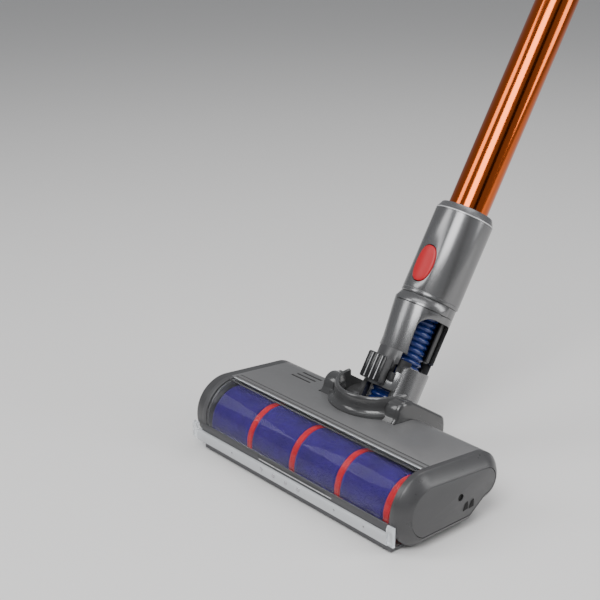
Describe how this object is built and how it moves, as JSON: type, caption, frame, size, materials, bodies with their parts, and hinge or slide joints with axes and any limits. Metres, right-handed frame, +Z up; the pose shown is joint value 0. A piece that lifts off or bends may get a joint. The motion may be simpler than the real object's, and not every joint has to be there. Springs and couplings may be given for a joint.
{
  "type": "carpet sweeper",
  "caption": "Floor sweeper head with a plush roller under a clear window, a neck that pitches and steers, and a tubular wand with a socket at its top.",
  "frame": {"origin": "on the floor, at the middle of the underside of the felt glide strip behind the roller", "axes": "+X across the head towards the removable end cap, +Y to the back, +Z up"},
  "size_m": [0.2523, 0.5862, 0.8003],
  "materials": {
    "housing_grey": "satin grey moulding",
    "cap_grey": "satin darker grey moulding",
    "plate_grey": "satin grey panel",
    "neck_grey": "satin grey with a soft sheen",
    "ring_silver": "satin silver grey",
    "inner_black": "matt black moulding",
    "sole_grey": "matt dark grey moulding",
    "clear_window": "clear polycarbonate",
    "milky_clear": "milky clear moulding",
    "mark_black": "black print",
    "felt": "short dark pile",
    "plush": "violet blue plush",
    "band_red": "red filament band",
    "tube_plastic": "extruded tube",
    "rubber_black": "black rubber",
    "hose_blue": "glossy blue ribbed hose",
    "steel": "bright steel",
    "copper_coil": "wound copper",
    "brass": "turned brass",
    "board_green": "printed circuit board",
    "wand_copper": "copper anodised tube",
    "button_red": "satin red moulding"
  },
  "bodies": {
    "head": {"sole_plate": "sole_grey", "chamber_wall": "inner_black", "suction_duct": "inner_black", "head_top_cover": "housing_grey", "vent_gauze": "mark_black", "roller_window": "clear_window", "front_trim_strip": "sole_grey", "front_bumper": "milky_clear", "bumper_end_tabs": "milky_clear", "bumper_studs": "milky_clear", "left_end_cap": "cap_grey", "left_end_plate": "plate_grey", "right_end_cap": "cap_grey", "right_end_plate": "plate_grey", "end_marks": "mark_black", "cap_screw": "steel", "felt_strip": "felt", "pivot_saddle": "cap_grey", "wheel_axles": "steel", "cover_screws": "steel", "motor_can": "steel", "motor_bracket": "inner_black", "drive_belt": "rubber_black", "circuit_board": "board_green", "board_parts": "inner_black", "roller_bearings": "steel"},
    "roller": {"roller_tube": "tube_plastic", "roller_hubs": "inner_black", "roller_plush": "plush", "roller_bands": "band_red", "roller_pulley": "inner_black"},
    "motor_rotor": {"motor_armature": "copper_coil", "motor_shaft": "steel", "motor_pulley": "brass"},
    "left_wheel": {"left_wheel": "rubber_black"},
    "right_wheel": {"right_wheel": "rubber_black"},
    "carriage": {"lower_yoke": "neck_grey", "pitch_pins": "steel", "steer_pins": "steel", "ribbed_cap": "inner_black", "suction_hose": "hose_blue"},
    "neck": {"neck_tube": "neck_grey", "neck_band": "housing_grey", "hose_cuff": "inner_black", "neck_contacts": "inner_black", "release_sleeve": "neck_grey", "sleeve_liner": "inner_black", "collar_ring": "ring_silver", "wand_spigot": "inner_black", "wand_tube": "wand_copper", "wire_duct": "inner_black", "wand_collar": "neck_grey", "wand_liner": "inner_black"},
    "release_button": {"release_button": "button_red", "release_spring": "steel"},
    "release_pawl": {"release_pawl": "inner_black"},
    "wand_button": {"wand_button": "button_red", "wand_spring": "steel"},
    "wand_pawl": {"wand_pawl": "inner_black"}
  },
  "joints": [
    {"name": "roller_spin", "type": "hinge", "parent": "head", "child": "roller", "pos_m": [0, -0.042, 0.026], "axis": [1, 0, 0], "continuous": true},
    {"name": "motor_spin", "type": "hinge", "parent": "head", "child": "motor_rotor", "pos_m": [0, 0.0029, 0.024], "axis": [1, 0, 0], "continuous": true},
    {"name": "left_wheel_spin", "type": "hinge", "parent": "head", "child": "left_wheel", "pos_m": [-0.03725, 0.036, 0.007], "axis": [1, 0, 0], "continuous": true},
    {"name": "right_wheel_spin", "type": "hinge", "parent": "head", "child": "right_wheel", "pos_m": [0.03725, 0.036, 0.007], "axis": [1, 0, 0], "continuous": true},
    {"name": "neck_pitch", "type": "hinge", "parent": "head", "child": "carriage", "pos_m": [0, 0.0274, 0.036], "axis": [1, 0, 0], "range_deg": [-56, 25], "deforming": ["suction_hose"]},
    {"name": "neck_steer", "type": "hinge", "parent": "carriage", "child": "neck", "pos_m": [0, 0.05203, 0.07603], "axis": [0, 0.8517, -0.524], "range_deg": [-25, 25]},
    {"name": "release_press", "type": "slide", "parent": "neck", "child": "release_button", "axis": [0, 0.8517, -0.524], "range_m": [0, 0.0016], "stiffness_N_per_m": 500, "springref_m": -0.002, "deforming": ["release_spring"]},
    {"name": "release_rock", "type": "hinge", "parent": "neck", "child": "release_pawl", "pos_m": [0, 0.0922, 0.17988], "axis": [1, 0, 0], "range_deg": [0, 7.7]},
    {"name": "wand_press", "type": "slide", "parent": "neck", "child": "wand_button", "axis": [0, 0.8517, -0.524], "range_m": [0, 0.0016], "stiffness_N_per_m": 500, "springref_m": -0.002, "deforming": ["wand_spring"]},
    {"name": "wand_rock", "type": "hinge", "parent": "neck", "child": "wand_pawl", "pos_m": [0, 0.44641, 0.75565], "axis": [1, 0, 0], "range_deg": [-7.7, 0]}
  ],
  "couplings": [
    {"joint": "motor_spin", "follows": "roller_spin", "ratio": 2.8},
    {"joint": "release_rock", "follows": "release_press", "rad_per_m": 83.3},
    {"joint": "wand_rock", "follows": "wand_press", "rad_per_m": -83.3}
  ]
}
